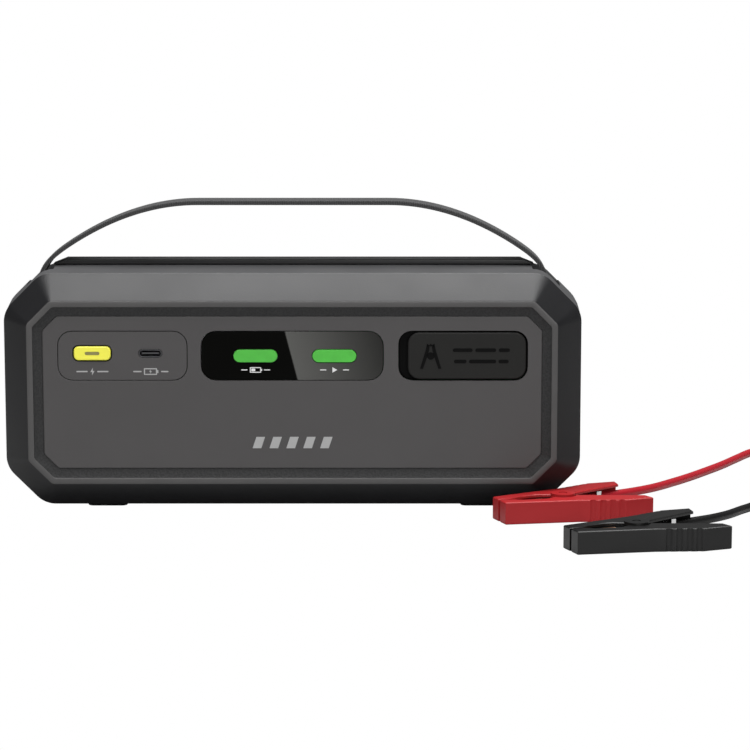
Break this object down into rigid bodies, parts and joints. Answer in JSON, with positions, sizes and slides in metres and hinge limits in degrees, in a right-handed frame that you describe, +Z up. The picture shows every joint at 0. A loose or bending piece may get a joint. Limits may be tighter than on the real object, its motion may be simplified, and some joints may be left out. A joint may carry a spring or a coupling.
{
  "type": "jump starter pack",
  "caption": "Octagonal-fronted lithium jump starter pack with a webbing carry strap, boost button, status display, flap-covered output socket and a pair of sprung clamps on leads.",
  "frame": {"origin": "centre of the footprint of the pack and its two clamps, on the surface they stand on", "axes": "+X to the viewer's right along the pack's width, +Y from the front panel to the back, +Z up"},
  "size_m": [0.3672, 0.2204, 0.1285],
  "materials": {
    "shell": "fine satin texture",
    "panel": "fine satin texture",
    "deck": "semi-gloss",
    "flap_rubber": "matt moulded",
    "webbing": "woven nylon",
    "button_yellow": "satin",
    "light_green": "lit diffuser",
    "display": "polished",
    "steel": "bright",
    "copper": "bright, copper coloured",
    "circuit_board": "solder mask",
    "cell_foil": "satin foil",
    "red_plastic": "satin moulded",
    "black_plastic": "satin moulded",
    "red_cable": "smooth jacket",
    "black_cable": "smooth jacket"
  },
  "bodies": {
    "pack": {"front_frame": "shell", "mid_shell": "shell", "rear_cover": "shell", "socket_bezel": "shell", "strap_bracket_left": "shell", "strap_bracket_right": "shell", "front_panel": "panel", "port_plate": "panel", "top_deck": "deck", "foot_1": "flap_rubber", "foot_2": "flap_rubber", "foot_3": "flap_rubber", "foot_4": "flap_rubber", "charging_light_bar": "light_green", "start_light_bar": "light_green", "display_lens": "display", "strap_pin_left": "steel", "strap_pin_right": "steel", "usb_c_port": "steel", "rear_screw_1": "steel", "rear_screw_2": "steel", "rear_screw_3": "steel", "rear_screw_4": "steel", "cell_link": "copper", "socket_contact_positive": "copper", "socket_contact_negative": "copper", "plug_contact_positive": "copper", "plug_contact_negative": "copper", "port_board": "circuit_board", "display_board": "circuit_board", "main_board": "circuit_board", "battery_cell_1": "cell_foil", "battery_cell_2": "cell_foil", "battery_cell_3": "cell_foil", "battery_cell_4": "cell_foil", "output_socket": "black_plastic", "cell_tray": "black_plastic", "power_relay": "black_plastic", "plug_housing": "black_plastic", "battery_lead_positive": "red_cable", "battery_lead_negative": "black_cable", "red_clamp_fixed_arm": "red_plastic", "red_clamp_fixed_jaw": "copper", "red_clamp_rivet": "steel", "red_clamp_spring": "steel", "red_clamp_crimp": "steel", "red_lead": "red_cable", "black_clamp_fixed_arm": "black_plastic", "black_clamp_fixed_jaw": "copper", "black_clamp_rivet": "steel", "black_clamp_spring": "steel", "black_clamp_crimp": "steel", "black_lead": "black_cable"},
    "boost_button": {"boost_button": "button_yellow"},
    "socket_cover": {"socket_cover": "flap_rubber"},
    "carry_strap": {"carry_strap": "webbing"},
    "red_clamp_arm": {"red_clamp_moving_arm": "red_plastic", "red_clamp_moving_jaw": "copper"},
    "black_clamp_arm": {"black_clamp_moving_arm": "black_plastic", "black_clamp_moving_jaw": "copper"}
  },
  "joints": [
    {"name": "boost_button_press", "type": "slide", "parent": "pack", "child": "boost_button", "axis": [0, 1, 0], "range_m": [0, 0.0008], "stiffness_N_per_m": 1500},
    {"name": "socket_cover_hinge", "type": "hinge", "parent": "pack", "child": "socket_cover", "pos_m": [0.06952, 0.0115, 0.0661], "axis": [0, 0, 1], "range_deg": [0, 95]},
    {"name": "carry_strap_swing", "type": "hinge", "parent": "pack", "child": "carry_strap", "pos_m": [-0.02708, 0.0397, 0.086], "axis": [1, 0, 0], "range_deg": [-12, 12], "stiffness_Nm_per_rad": 0.05},
    {"name": "red_clamp_open", "type": "hinge", "parent": "pack", "child": "red_clamp_arm", "pos_m": [0.08472, 0.0037, 0.00465], "axis": [0, 0, 1], "range_deg": [0, 22], "stiffness_Nm_per_rad": 0.3, "springref_deg": -11.46},
    {"name": "black_clamp_open", "type": "hinge", "parent": "pack", "child": "black_clamp_arm", "pos_m": [0.11012, -0.0523, 0.00465], "axis": [0, 0, 1], "range_deg": [0, 22], "stiffness_Nm_per_rad": 0.3, "springref_deg": -11.46}
  ]
}
